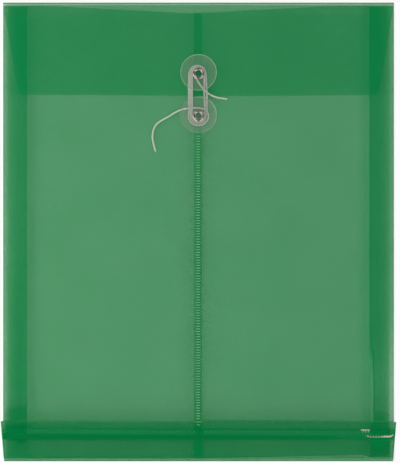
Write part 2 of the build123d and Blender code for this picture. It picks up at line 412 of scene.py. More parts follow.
def noise(tree, size, detail=2.0, roughness=0.5):
    """Even noise from 0 to 1 whose lumps are about size millimetres across."""
    sockets = {"Vector": place(tree), "Scale": 1.0 / (size * MM), "Detail": detail, "Roughness": roughness}
    return Wire.node(tree, "ShaderNodeTexNoise", {}, sockets)


# %% [markdown]
# ## The film
# The body is one sheet of tinted polypropylene. Each ply lets part of the light through, so two plies are
# pale, five are deep green, and the folds draw themselves. That is transparency by layers: every face has
# an alpha, and plies that lie on each other add up. Painted layers steer it. film_depth is how much film
# there is, as at stretched folds or welds; on the front it is raised as a painted shade beside the pleats,
# the weld and towards the base. shine mixes in a milky green: painted highlights on folds, creases and cut
# edges, and a faint tint along the pleats. deep mixes in a darker green where pressed plies lie tight
# together at the base, and as a painted shade on the front. The bars that a toothed welding tool has left
# stand a little proud, and they have an alpha and a colour of their own.

# %% Film finish
GREEN = (0.001, 0.352, 0.093, 1.0)
DEEP = (0.0, 0.19, 0.043, 1.0)
# The pale tint that paints highlights on folds, creases and cut edges.
MILKY_HIGHLIGHT = (0.34, 0.62, 0.42, 1.0)
FACE_ALPHA = 0.27
DENSEST = 0.86
BAR_ALPHA = 0.5
BAR_RELIEF = 1.5
PUNCH = 2.5


def punched(tree, centre):
    """0 inside the hole that was punched for an eyelet, and 1 outside it."""
    sockets = {0: place(tree), 1: (centre[0] * MM, centre[1] * MM, 0.0)}
    offset = Wire.node(tree, "ShaderNodeVectorMath", {"operation": "SUBTRACT"}, sockets)
    sockets = {0: offset, 1: (1.0, 1.0, 0.0)}
    flat = Wire.node(tree, "ShaderNodeVectorMath", {"operation": "MULTIPLY"}, sockets)
    radius = Wire.node(tree, "ShaderNodeVectorMath", {"operation": "LENGTH"}, {0: flat}).out("Value")
    return ((radius * PER_METRE - PUNCH) * 12.0).clip()


def film_finish(name, ladder=None, hole=None):
    """Tinted film. A ladder gives a weld's cover, raised bars and colour in a tree; a hole is a centre."""
    material, tree, shader = new_finish(name, Specular_IOR_Level=0.03, IOR=1.49)
    cloud = noise(tree, 38.0, 3.0)
    grain = noise(tree, 6.0)
    alpha = layer(tree, "film_depth") * (0.95 + 0.1 * cloud) * FACE_ALPHA
    alpha = alpha.math("MINIMUM", alpha, DENSEST)
    # Darker green for pressed plies and for painted shade.
    tint = layer(tree, "deep").clip().mix(GREEN, DEEP)
    # Milky green for the painted highlights.
    tint = layer(tree, "shine").clip().mix(tint, MILKY_HIGHLIGHT)
    if ladder:
        cover, light, bars = ladder(tree)
        alpha = alpha + cover * (BAR_ALPHA - alpha)
        tint = cover.mix(tint, bars)
        grain = grain + BAR_RELIEF * cover * light
    if hole is not None:
        alpha = alpha * punched(tree, hole)
    alpha.clip().into(shader, "Alpha")
    tint.into(shader, "Base Color")
    (0.34 + 0.16 * cloud).into(shader, "Roughness")
    sockets = {"Strength": 0.35, "Distance": 0.00006, "Height": grain}
    Wire.node(tree, "ShaderNodeBump", {}, sockets).into(shader, "Normal")
    return material


film = film_finish("film")
print("film nodes", len(film.node_tree.nodes))

# %% [markdown]
# ## Sheets with thickness
# A ply is worked out as a single surface and gets its thickness from a Solidify modifier, whose rim is the
# cut edge. A cut edge gathers light, so the rim has a paler finish of its own.

# %% Film sheets
FILM_THICK = 0.3

edge_finish, edge_tree, edge_shader = new_finish("film_cut_edge", Roughness=0.45, Alpha=0.55)
noise(edge_tree, 3.0).mix((0.02, 0.36, 0.11, 1.0), (0.07, 0.46, 0.17, 1.0)).into(edge_shader, "Base Color")


def film_sheet(name, x, y, z, nodes, density=1.0, shine=0.0, deep=0.0, thickness=FILM_THICK, finish=film):
    """A ply of film on a grid, with the CAD nodes that it stands for."""
    piece = surface(name, x, y, z)
    shape = np.broadcast(x, y, z).shape
    layers = {"film_depth": density, "shine": shine, "deep": deep}
    paint(piece, **{key: np.broadcast_to(values, shape) for key, values in layers.items()})
    piece.data.materials.append(finish)
    piece.data.materials.append(edge_finish)
    solid = piece.modifiers.new("thickness", "SOLIDIFY")
    solid.thickness = thickness * MM
    solid.offset = 0.0
    solid.use_rim = True
    solid.material_offset_rim = 1
    if nodes:
        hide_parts(*nodes)
    return piece


# %% [markdown]
# ## The back
# The rear panel runs from the top fold to the bottom fold. Its sides are straight and draw in a little
# beside the folded bottom. Film is paler where it is bent round the side folds, partly as thinner film and
# partly as a painted highlight where the folds catch the light from the side, more on the left. The panel
# stops just short of the top fold's axis, to leave room for the fold when the flap is opened.

# %% Back panel
HALF = 127.27
TOP_AXIS = (148.0, 1.225)
BASE_AXIS = (-147.725, 1.5)
BASE_TOP = -123.225
BOTTOM = -149.225
FLARE = 1.5
DRAW_IN = 0.7
TRIM = 0.03
FOLD_GAP = 0.33
BACK_Z, FRONT_Z, FLAP_Z = 0.15, 1.35, 2.3
ROWS, COLUMNS = 150, 128


def body_half(y):
    """Half the body's width: straight, then drawn in beside the base."""
    return HALF - DRAW_IN * np.clip((BASE_TOP - y) / (BASE_TOP - BOTTOM), 0, 1)


def base_half(y):
    """Half the base's width, which flares from the bottom fold to its top edge."""
    t = (y - BOTTOM) / (BASE_TOP - BOTTOM)
    return HALF - DRAW_IN + (FLARE + DRAW_IN) * t


def fold_thinning_and_sheen(x):
    """Film near the side folds: 1 inside, falling towards the very edge, more on the left; partly thinner
    film, partly a painted highlight.
    """
    return 1 - np.where(x < 0, 0.24, 0.2) * smooth((np.abs(x) - 123.5) / 2.5)


v = np.linspace(BASE_AXIS[0], TOP_AXIS[0] - FOLD_GAP, ROWS)[:, None]
u = np.linspace(-1, 1, COLUMNS)[None, :]
x = u * (body_half(v) - TRIM)
back = film_sheet("back_sheet", x, v + 0 * u, BACK_Z, ["back_panel"], density=fold_thinning_and_sheen(x))
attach(back, "back")
print("back faces", len(back.data.polygons))

# %% [markdown]
# ## The front
# The front is two halves that lap over each other on the centre line, where a toothed weld holds them. The
# mouth is cut as a shallow V, and the right half's lower end is cut a little askew. Along the weld the
# front lies down on the back. Beside each pleat, beside the weld and towards the base the front has a
# painted shade: denser film and a darker green.

# %% Weld ladder on the lap
LADDER_PITCH = 1.719
SEAM_X, SEAM_HALF = -0.3, 1.5
SEAM_LOW, SEAM_TOP = -122.9, 64.5
SEAM_DARK, SEAM_LIGHT = (0.0, 0.3, 0.075, 1.0), (0.28, 0.505, 0.295, 1.0)


def seam_ladder(tree):
    """Bars across the lap: sin(2 pi y / pitch), kept near the weld's line and above the base."""
    parts = Wire.node(tree, "ShaderNodeSeparateXYZ", {}, {0: place(tree)})
    across = parts.out("X") * PER_METRE - SEAM_X
    along = parts.out("Y") * PER_METRE
    light = (((along * (2 * np.pi / LADDER_PITCH)).sin() - 0.3) * (2.2 + noise(tree, 4.0))).clip()
    cover = ((SEAM_HALF - across.abs()) * 2.5).clip()
    cover = cover * ((along - SEAM_LOW) * 2.0).clip() * ((SEAM_TOP - along) * 0.8).clip()
    return cover, light, light.mix(SEAM_DARK, SEAM_LIGHT)


film_right = film_finish("film_front_right", seam_ladder, LOWER_HOLE)
film_flap = film_finish("film_flap", hole=UPPER_HOLE)
print("film finishes", film_right.name, film_flap.name)

# %% Front halves
LAP_LEFT = -2.85
LAP_RIGHT = 2.2
FRONT_END = -147.5
FRONT_ASKEW = 0.0205
MOUTH_RISE = 0.0532
MOUTH_TOP = 147.0


def mouth(x, low):
    """The V-shaped mouth: low on the centre line, rising evenly to both sides, up to the fold."""
    return np.minimum(low + MOUTH_RISE * np.abs(x), MOUTH_TOP)


def on_lap(x):
    """1 on the strip where the two halves of the front overlap."""
    return smooth((x - LAP_LEFT) / 0.3 + 0.5) * smooth((LAP_RIGHT - x) / 0.3 + 0.5)


def front_density(x, y):
    """Pale at the side folds, with painted shade as denser film beside the pleats, beside the weld and
    towards the base.
    """
    pleat = bump_at(np.abs(x), 109.5, 4.0) * np.where(x > 0, 0.26, 0.2)
    weld = bump_at(x, -0.5, 8.0) * 0.06
    base = smooth((-112.0 - y) / 11.0) * 0.24
    return fold_thinning_and_sheen(x) + pleat + weld + base - on_lap(x) * np.where(y < 88.5, 0.1, -0.1)


def front_deep(x, y):
    """Painted shade in a darker green: by the weld, the left pleat and towards the base."""
    weld = bump_at(x, -0.5, 9.0) * (1 - on_lap(x))
    shade_zones = weld + bump_at(x, -108.5, 4.0) + smooth((-104.0 - y) / 9.0)
    return 0.35 * np.minimum(shade_zones, 1.0)


def front_shine(x, y):
    """A painted highlight, pale and milky, on the right side fold towards the base."""
    return 0.7 * smooth((x - 123.0) / 2.5) * smooth((-40.0 - y) / 60.0)


def wave(x, y):
    """Slight unevenness of a sheet that lies free, in millimetres."""
    return 0.05 * np.sin(x / 31.0 + y / 47.0) + 0.04 * np.sin(y / 23.0 - x / 60.0)


def sag(x, y):
    """How far the front lies down on the back along the weld, clear of the button and of the base."""
    return 0.72 * bump_at(x, -0.3, 26.0) * smooth((60.0 - y) / 20.0) * smooth((y + 117.0) / 16.0)


def climb(x):
    """How far the right half climbs to lie on the left one: a film's thickness, on the lap."""
    return FILM_THICK * smooth((4.2 - x) / 2.0)


def front_half(name, x_line, lift, low, node, finish):
    """Half of the front on its own columns. Lift is its share of the climb, low the middle of its mouth."""
    t = np.linspace(0, 1, ROWS)[:, None]
    x = x_line[None, :] + 0 * t
    end = FRONT_END + FRONT_ASKEW * np.clip(x, 0.0, 109.0) * (1 - 0.65 * smooth((x - 108.0) / 4.0))
    y = end + t * (mouth(x, low) - end)
    x = np.sign(x) * np.minimum(np.abs(x), body_half(y) - TRIM)
    free = smooth((120.0 - np.abs(x)) / 20.0) * smooth(np.abs(x) / 30.0)
    z = FRONT_Z + lift * climb(x) - sag(x, y) + 0.5 * wave(x, y) * free
    layers = front_density(x, y), front_shine(x, y), front_deep(x, y)
    piece = film_sheet(name, x, y, z, [node], *layers, finish=finish)
    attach(piece, "front")
    return piece


left_columns = np.concatenate([np.linspace(-HALF, -6.0, 62)[:-1], np.linspace(-6.0, LAP_RIGHT, 42)])
right_columns = np.concatenate([np.linspace(LAP_LEFT, 6.0, 44), np.linspace(6.0, HALF, 62)[1:]])
front_left = front_half("front_left_sheet", left_columns, 0.0, 141.9, "front_left_panel", film)
front_right = front_half("front_right_sheet", right_columns, 1.0, 142.4, "front_right_panel", film_right)
print("front faces", len(front_left.data.polygons), len(front_right.data.polygons))

# %% [markdown]
# ## The side pleats
# Between the back and the front, each side tucks inwards in a pleat that lets the envelope open to about an
# inch. The pleat is one strip with a sharp inner crease.

# %% Pleats
PLEAT_THICK = 0.1


def pleat(name, side, crease, nodes):
    """A strip whose section is a flat V lying on its side, with a small fold at each outer edge."""
    inner = crease + np.array([5.3, 3.0, 2.3, 1.7, 1.1, 0.5, 0.0])
    section_x = np.concatenate([[126.5, 126.9, 127.0, 126.8, 124.0, 121.0], inner])
    section_z = np.concatenate([[0.15, 0.2, 0.34, 0.48, 0.54, 0.58], 0.745 - 0.02 * (inner - crease)])
    xs = np.concatenate([section_x, section_x[::-1]])
    zs = np.concatenate([section_z, 1.5 - section_z[::-1]])
    y = np.linspace(-146.75, 146.6, 140)[:, None] + 0 * xs[None, :]
    drift = 1.2 * smooth((-60.0 - y) / 40.0) * (side > 0)
    x = side * (xs[None, :] + drift * np.clip((122.0 - xs) / 8.0, 0, 1) - (HALF - body_half(y)))
    z = zs[None, :] + 0 * y
    inward = smooth((127.0 - np.abs(x)) / 10.0)
    under_flap = smooth((y - 87.0) / 4.0) * 0.2
    if side < 0:
        low = smooth((-10 - y) / 60.0) * smooth((np.abs(x) - 112.5) / 4.0) * 0.2
        pressed = smooth((-112.0 - y) / 6.0) * 0.85
    else:
        low = -smooth((-60 - y) / 40.0) * 0.22
        pressed = smooth((-116.0 - y) / 5.0) * 0.55
    pressed = pressed * smooth((y + 124.6) / 1.2)
    ends = smooth((-125.5 - y) / 1.5) * 0.3
    density = 0.06 + inward * (0.59 + 0.03 * side + under_flap + low + pressed - ends)
    # Painted highlight on the right pleat's crease above the base, and a faint milky tint all along each
    # pleat.
    lit = smooth((y + 125.0) / 2.0) * smooth((-60.0 - y) / 40.0) * (side > 0)
    bright = bump_at(np.abs(x), crease + drift + 0.6, 0.8) * lit
    density = density + 4.5 * bright
    shine = bright + 0.07 - 0.01 * side
    x, y, z, density, shine = (grid[:, ::side] for grid in (x, y, z, density, shine))
    piece = film_sheet(name, x, y, z, nodes, density, shine, thickness=PLEAT_THICK)
    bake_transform(piece)
    return piece


pleat_left = pleat("pleat_left", -1, 111.7, ["left_gusset_back", "left_gusset_front"])
pleat_right = pleat("pleat_right", 1, 111.25, ["right_gusset_back", "right_gusset_front"])
print("pleat faces", len(pleat_left.data.polygons), len(pleat_right.data.polygons))

# %% [markdown]
# ## The flap
# The flap is as wide as the body at its fold and tapers to a narrower free edge with rounded corners. Its
# edge is cut in a slight bow, and faint score lines cross it near the fold. The fold itself is a separate
# strip, rolled round its axis.

# %% Flap
FLAP_EDGE = 89.225
FLAP_HALF = 117.0
CORNER = 5.6
BELOW_FOLD = 147.0
FLAP_DENSITY = 0.925


def flap_half(y):
    """Half the flap's width: a taper, less the corner's r - sqrt(r^2 - (r - d)^2) at d above the edge."""
    taper = FLAP_HALF + (HALF - FLAP_HALF) * (y - FLAP_EDGE) / (TOP_AXIS[0] - FLAP_EDGE)
    short = np.clip(CORNER - (y - FLAP_EDGE), 0, CORNER)
    return taper - (CORNER - np.sqrt(CORNER**2 - short**2))


near_edge = FLAP_EDGE + CORNER * (1 - np.cos(np.linspace(0, np.pi / 2, 14)))
rows = np.concatenate([near_edge, np.linspace(near_edge[-1], TOP_AXIS[0], 44)[1:]])
y = rows[:, None] + 0 * u
x = u * (flap_half(y) - TRIM)
bow = (0.25 + 0.85 * bump_at(x, 20.0, 60.0)) * smooth((BELOW_FOLD - y) / 50.0)
scores = bump_at(y, 140.2, 0.5) * smooth(x / 60.0) * 0.12 + bump_at(y, 130.7, 0.5) * 0.07
# A painted highlight along the flap's free edge.
edge_highlight = bump_at(y, FLAP_EDGE, 0.35) * 0.25
near_fold = (0.08 + 0.14 * smooth((np.abs(x) - 30.0) / 60.0)) * smooth((y - 136.0) / 9.0)
flap_density = (FLAP_DENSITY - near_fold) * fold_thinning_and_sheen(x) + scores
z = FLAP_Z + wave(x, y) * smooth((BELOW_FOLD - y) / 20.0)
flap = film_sheet("flap_sheet", x, y - bow, z, ["flap_panel"], flap_density, edge_highlight, finish=film_flap)
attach(flap, "flap")
print("flap faces", len(flap.data.polygons))


# %% Rolled folds
ROLL_THICK = 0.12


def roll(name, axis, reach, radius, half, side, density, shine):
    """Half an oval tube: y = axis + side reach cos(a), z = axis + radius sin(a), for half a turn of a."""
    a = np.radians(np.linspace(-90, 90, 13))[:, None]
    y = axis[0] + side * reach * np.cos(a) + 0 * u
    z = axis[1] + radius * np.sin(a) + 0 * u
    # Painted highlight: shine, strongest along the roll's outer edge.
    bright = shine * np.cos(a) ** 2 + 0 * u
    edge_on = density + 1.1 * np.cos(a) ** 2 + 0 * u
    piece = film_sheet(name, u[:, ::side] * half + 0 * y, y, z, [], edge_on, bright, thickness=ROLL_THICK)
    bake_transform(piece)
    return piece


top_roll = roll("top_fold", TOP_AXIS, 1.155, 1.155, HALF - TRIM, 1, 0.6, 0.06)
base_roll = roll("bottom_fold", BASE_AXIS, 1.6, 1.44, HALF - DRAW_IN, -1, 0.75, 0.0)
print("rolled folds", top_roll.name, base_roll.name)

# %% [markdown]
# ## The folded bottom
# The bottom is folded like a paper bag's and laid up against the front. The back's end comes round the
# bottom fold as the lower lip. The front's end turns up as an inner ply, folds over at the top and laps
# down on the lower lip, where a second toothed weld joins them. The ends of the pleats are tucked in
# between.

# %% Weld ladder on the base
BASE_PITCH = 1.8
BASE_WELD, BASE_DROP, BASE_BAR_HALF = -130.4, 0.0064, 1.65
BASE_DARK, BASE_LIGHT = (0.0, 0.155, 0.025, 1.0), (0.03, 0.45, 0.175, 1.0)
OVER_PLEAT_DARK, OVER_PLEAT_LIGHT = (0.0, 0.12, 0.012, 1.0), (0.0, 0.42, 0.13, 1.0)


def base_ladder(tree):
    """Bars along the base: sin(2 pi x / pitch), kept near a weld line that drops to the right."""
    parts = Wire.node(tree, "ShaderNodeSeparateXYZ", {}, {0: place(tree)})
    along = parts.out("X") * PER_METRE
    across = parts.out("Y") * PER_METRE - BASE_WELD + along * BASE_DROP
    slant = along + across * (noise(tree, 25.0) - 0.5) * 0.6
    light = ((slant * (2 * np.pi / BASE_PITCH)).sin() * (0.4 + 0.8 * noise(tree, 12.0)) + 0.45).clip()
    height = parts.out("Z") * PER_METRE
    cover = ((BASE_BAR_HALF - across.abs()) * 2.5).clip() * ((height - 2.95) * 20.0).clip()
    cover = cover * ((along.abs() - 2.6) * 3.0).clip() * (125.5 - along.abs()).clip()
    plain = light.mix(BASE_DARK, BASE_LIGHT)
    over_pleat = light.mix(OVER_PLEAT_DARK, OVER_PLEAT_LIGHT)
    return cover * 0.9, light, ((along.abs() - 111.5) * 2.0).clip().mix(plain, over_pleat)


film_base = film_finish("film_base", base_ladder)
print("base finish", film_base.name)


# %% Stripes of the base
def base_side(x, y):
    """Film at the sloping sides: a dark doubled strip with a pale inner border that closes in downwards."""
    inside = base_half(y) - np.abs(x)
    line = 0.95 + 0.85 * (y - BOTTOM) / (BASE_TOP - BOTTOM)
    return 1.3 * smooth((line - 0.2 - inside) / 0.3) - 0.4 * bump_at(inside, line, 0.35)


def lap_strip(x, y):
    """1 where the front's lap runs on down the base, wider and fainter at its end, with rounded corners."""
    low = -146.6 + 0.9 * (np.abs(x + 0.1) / 2.9) ** 6
    reach = 2.6 + 0.35 * smooth((-134.0 - y) / 1.5)
    fade = 1 - 0.4 * smooth((-144.4 - y) / 1.0)
    return smooth((reach - np.abs(x + 0.1)) / 0.35 + 0.5) * smooth((y - low) / 0.6 + 0.5) * fade


def pressed_strip(x, y):
    """1 in the dark strip below the weld, whose upper border drops to the right, where it fades out."""
    return smooth((-131.95 - 0.0085 * x - y) / 0.7 + 0.5) * (1 - 0.7 * smooth((x - 82.0) / 18.0))


def weld_line(x, y):
    """1 on the thin dark line above the weld."""
    return bump_at(y, -128.72 - 0.0043 * x, 0.55)


# %% Lips
LIP_Z, TUCK_Z, FLASH_Z = 2.85, 2.45, 3.2
near_side = 1 - np.linspace(0, 0.028, 16)
between, by_lap = np.linspace(-0.97, 0.97, 90), np.linspace(-0.03, 0.03, 40)
wide = np.unique(np.concatenate([-near_side, near_side, between, by_lap]))[None, :]


def askew(x, y):
    """How far the cuff's upper edge sinks: each half was folded a little askew, dropping to the right."""
    left, right = 0.0066 * (x + 61.0) - 0.36, 0.0063 * (x - 62.0) - 0.72
    corner = 0.8 * smooth((np.abs(x) - 126.2) / 2.4)
    return (left + (right - left) * smooth((x - 2.5) / 1.0) + corner) * smooth((y + 136.0) / 12.0)


def base_sheet(name, path_y, path_z, nodes, tone, sink=0.0, finish=film):
    """A ply of the base: a path in Y and Z drawn out across, following the base's flare."""
    flat_y = path_y[:, None] + 0 * wide
    x = wide * base_half(flat_y)
    y = flat_y - sink * askew(x, flat_y)
    density, shine, deep = tone(x, y, flat_y)
    z = path_z[:, None] + 0 * wide
    piece = film_sheet(name, x, y, z, nodes, density, shine, deep, FILM_THICK - 0.14 * sink, finish)
    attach(piece, "base")
    return piece


def lip_tone(x, y, flat_y):
    """The lower lip: thin film, doubled towards the bottom fold."""
    density = 0.39 + 0.4 * smooth((-144.8 - y) / 2.0) + base_side(x, y) + 1.3 * lap_strip(x, y)
    return density, 0.0, 0.3 - 0.22 * smooth((-111.0 - x) / 2.0) + 0.15 * lap_strip(x, y)


lip_y = np.linspace(BASE_AXIS[0], -128.4, 40)
lower_lip = base_sheet("base_lower_lip_sheet", lip_y, LIP_Z + 0 * lip_y, ["base_lower_lip"], lip_tone)

turn = np.radians(np.linspace(-90, 90, 9))
inner_y = np.linspace(FRONT_END, -124.1, 40)
outer_y = np.linspace(-124.1, -135.05, 60)
cuff_y = np.concatenate([inner_y, -123.75 + 0.32 * np.cos(turn), outer_y])
inner_z = 2.05 - 0.25 * smooth((inner_y + 131.0) / 7.0)
outer_z = 3.1 - 0.7 * smooth((outer_y + 130.5) / 6.4)
cuff_z = np.concatenate([inner_z, 2.1 + 0.3 * np.sin(turn), outer_z])
is_outer = (np.arange(len(cuff_y)) >= len(inner_y) + len(turn))[:, None]


def cuff_tone(x, y, flat_y):
    """The folded upper lip: an inner ply, a painted highlight along its top edge, and an outer ply with the
    weld's stripes.
    """
    stripes = 0.07 + 1.2 * weld_line(x, y) + 0.4 * smooth((-129.2 - y) / 0.6) + 2.6 * pressed_strip(x, y)
    density = 0.5 + base_side(x, y) + 0.9 * lap_strip(x, y) + is_outer * stripes
    # Painted highlight along the fold at the top edge: stronger on the lap, near the left pleat and at the
    # right end.
    edge = 0.12 + 0.5 * lap_strip(x, y) + 0.2 * bump_at(x, -111.0, 9.0) + 0.15 * smooth((x - 92.0) / 6.0)
    shine = edge * bump_at(flat_y, -123.6, 0.4)
    deep = 0.25 + is_outer * (0.75 * pressed_strip(x, y) + 0.5 * weld_line(x, y)) + 0.25 * lap_strip(x, y)
    return density, shine, deep


cuff = base_sheet("base_upper_lip_sheet", cuff_y, cuff_z, ["base_upper_lip"], cuff_tone, 1.0, film_base)
print("lip faces", len(lower_lip.data.polygons), len(cuff.data.polygons))


# %% Tucks
def tuck(name, x_line, low_line, top_line, fade, deep, node):
    """A pleat's end inside the base: rows from its lower to its upper border, at each of its columns."""
    order = np.argsort(x_line)
    columns = np.linspace(min(x_line), max(x_line), 60)
    low = np.interp(columns, np.array(x_line)[order], np.array(low_line)[order])[None, :]
    top = np.interp(columns, np.array(x_line)[order], np.array(top_line)[order])[None, :]
    t = np.linspace(0, 1, 24)[:, None]
    density = 3.0 * smooth((1 - t) / 0.25) * (1 - fade * smooth((0.6 - t) / 0.6))
    x = columns[None, :] + 0 * t
    y = low + t * (top - low)
    piece = film_sheet(name, x, y, TUCK_Z, [node], density, 0.0, deep)
    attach(piece, "base")
    return piece


tuck_left = tuck(
    "corner_tuck_left",
    [-125.0, -123.5, -121.5, -120.2, -118.2, -117.0, -115.8, -114.7, -113.4, -111.6],
    [-131.3, -133.3, -134.6, -135.3, -136.2, -137.5, -138.8, -137.8, -136.5, -135.5],
    [-125.2, -126.2, -126.0, -125.8, -125.6, -125.5, -125.4, -125.3, -125.2, -125.1],
    0.0,
    1.0,
    "left_corner_tuck",
)
tuck_right = tuck(
    "corner_tuck_right",
    [111.8, 112.6, 123.6, 124.4],
    [-144.0, -145.3, -145.3, -144.2],
    [-125.6, -125.4, -125.6, -126.4],
    0.65,
    0.5,
    "right_corner_tuck",
)
print("tucks", tuck_left.name, tuck_right.name)

# %% [markdown]
# ## Weld flash
# Where the base's weld was pressed too hard, a little melted film has come out at the right end as pale,
# ragged crumbs. Each is a thin strip between a lower and an upper border, standing slightly proud of the
# lip, and the bars of the weld have left teeth on the two longer ones.

# %% Flash finish and strips
flash_finish, flash_tree, flash_shader = new_finish("weld_flash", Roughness=0.7, Alpha=0.85)
flash_light = (noise(flash_tree, 1.1) * 0.7 + layer(flash_tree, "melt")).clip()
flash_light.mix((0.16, 0.29, 0.15, 1.0), (0.66, 0.59, 0.46, 1.0)).into(flash_shader, "Base Color")
flash_relief = Wire.node(
    flash_tree, "ShaderNodeBump", {}, {"Strength": 0.8, "Distance": 0.0002, "Height": noise(flash_tree, 0.5)}
)
flash_relief.into(flash_shader, "Normal")
FLASH_LINE = -129.0
THINNEST = 0.05
dice = np.random.default_rng(7)


def teeth(x, first, pitch):
    """A row of blunt points: max(0, cos(2 pi (x - first) / pitch))^2."""
    return np.clip(np.cos(2 * np.pi * (x - first) / pitch), 0, 1) ** 2


def flash(name, x, low, high, rise, melt):
    """A ragged strip from low to high at each x, whose height above the lip is rise (1 - t^2) across it."""
    t = np.linspace(-1, 1, 9)[:, None]
    rough = 0.12 * (dice.random((2, len(x))) - 0.5)
    low, high = low + rough[0], high + rough[1]
    y = (low + high) / 2 + t * np.maximum(high - low, THINNEST) / 2
    piece = surface(name, x[None, :] + 0 * t, y, FLASH_Z + rise * (1 - t * t) + 0 * y)
    paint(piece, melt=np.broadcast_to(melt, y.shape))
    piece.data.materials.append(flash_finish)
    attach(piece, "base")
    return piece


x = np.linspace(105.5, 111.7, 70)
ends = np.sqrt(np.clip(np.minimum(x - 105.4, 111.8 - x) / 0.8, 0, 1))
tooth_line = FLASH_LINE - ends * (0.35 + 1.5 * teeth(x, 107.15, 1.75))
flash_upper = flash("weld_flash_upper", x, tooth_line, FLASH_LINE + 0.45 * ends, 0.25, 0.15)
x = np.linspace(109.3, 126.8, 190)
swell = smooth((x - 117.0) / 5.0)
floor_line = -133.2 - 0.6 * smooth((x - 109.3) / 3.0) + 1.3 * smooth((x - 124.8) / 2.2)
crest = 0.3 + 0.75 * swell * smooth((126.9 - x) / 1.2) + (1.0 - 0.5 * swell) * teeth(x, 110.2, 1.8)
flash_lower = flash("weld_flash_lower", x, floor_line, floor_line + crest, 0.3, 0.3 + 0.3 * swell)
x = np.linspace(-1.1, 1.2, 30)
speck_line = -125.35 - 0.28 * (x + 1.1)
flash_speck = flash("weld_flash_speck", x, speck_line - 0.16, speck_line + 0.16, 0.12, 0.0)
print("weld flash", flash_upper.name, flash_lower.name, flash_speck.name)

# %% [markdown]
# ## The discs
# Each button is a clear washer, slightly frosted, so what lies under it stays visible and only turns a
# little milky. Its round edge is the brightest part because it bends the light. A washer is a profile
# carried round a circle.

# %% Turned shapes
DISC_SEGMENTS = 128
EYELET_SEGMENTS = 96


def turned(name, r, z, centre, segments):
    """A closed profile (r, z) carried round a vertical axis: x = cx + r cos(a), y = cy + r sin(a)."""
    a = np.linspace(0, 2 * np.pi, segments, endpoint=False)[None, :]
    r, z = np.asarray(r)[:, None], np.asarray(z)[:, None]
    x = centre[0] + r * np.cos(a)
    y = centre[1] + r * np.sin(a)
    return surface(name, x, y, z + 0 * a, wrap_rows=True, wrap_cols=True)


disc_finish, disc_tree, disc_shader = new_finish("clear_disc", Specular_IOR_Level=0.35, IOR=1.49)
rim = layer(disc_tree, "rim")
rim.clip().mix((0.5, 0.53, 0.48, 1.0), (0.72, 0.78, 0.66, 1.0)).into(disc_shader, "Base Color")
(0.06 + 0.02 * noise(disc_tree, 5.0) + rim * 0.36).clip().into(disc_shader, "Alpha")
(0.3 + 0.12 * noise(disc_tree, 2.0)).into(disc_shader, "Roughness")
print("disc nodes", len(disc_tree.nodes))

# %% Two discs
DISC_R = 11.8
DISC_BORE = 3.2
DISC_T = 0.6


def disc(name, centre, low, body, glint):
    """A washer with a half-round edge, which is brighter towards the upper right by the share glint."""
    a = np.radians(np.linspace(-90, 90, 9))
    round_off = DISC_T / 2
    edge_r = DISC_R - round_off + round_off * np.cos(a)
    edge_z = round_off + round_off * np.sin(a)
    flat = np.linspace(DISC_BORE, DISC_R - round_off, 14)
    r = np.concatenate([flat, edge_r, flat[::-1]])
    z = low + np.concatenate([0 * flat, edge_z, DISC_T + 0 * flat])
    piece = turned(name, r, z, centre, DISC_SEGMENTS)
    around = np.linspace(0, 2 * np.pi, DISC_SEGMENTS, endpoint=False)[None, :]
    lit = 1 - glint + glint * np.cos(around - np.radians(45))
    paint(piece, rim=smooth((r - DISC_R + 0.45) / 0.3)[:, None] * lit)
    piece.data.materials.append(disc_finish)
    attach(piece, body)
    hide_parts(body)
    return piece


upper_disc = disc("clear_disc_upper", UPPER, 4.85, "upper_disc", 0.15)
lower_disc = disc("clear_disc_lower", LOWER, 4.2, "lower_disc", 0.3)
print("discs", upper_disc.name, lower_disc.name)

# %% [markdown]
# ## The eyelets
# The eyelets are nickel-plated and rolled over the discs. Their round crown mirrors the whole room, so the
# finish is little more than a clean metal with fine wear. The bore's wall is painted light: matt, nearly
# white and tinted green in place of nickel, standing in for the light that the green film below sends up
# the bore, so that it passes light on to the film below. The profile is a bore, a clinched foot, a barrel
# with a thin collar, and a rolled crown.

# %% Nickel finish
nickel, nickel_tree, nickel_shader = new_finish("nickel", Metallic=1.0)
wear = noise(nickel_tree, 0.8, 4.0)
wear.mix((0.46, 0.38, 0.365, 1.0), (0.6, 0.52, 0.5, 1.0)).into(nickel_shader, "Base Color")
(0.08 + 0.08 * wear).into(nickel_shader, "Roughness")
# Painted light: the bore's wall is matt, nearly white and tinted green, standing in for light from the green
# film below.
bore_finish, bore_tree, bore_shader = new_finish("bright_bore", Roughness=0.6)
noise(bore_tree, 0.8).mix((0.8, 0.95, 0.87, 1.0), (0.84, 0.98, 0.9, 1.0)).into(bore_shader, "Base Color")
print("metal finishes", nickel.name, bore_finish.name)

# %% Two eyelets
BORE, BARREL, SHOULDER, FLANGE, CROWN = 2.15, 2.55, 3.2, 3.6, 3.75


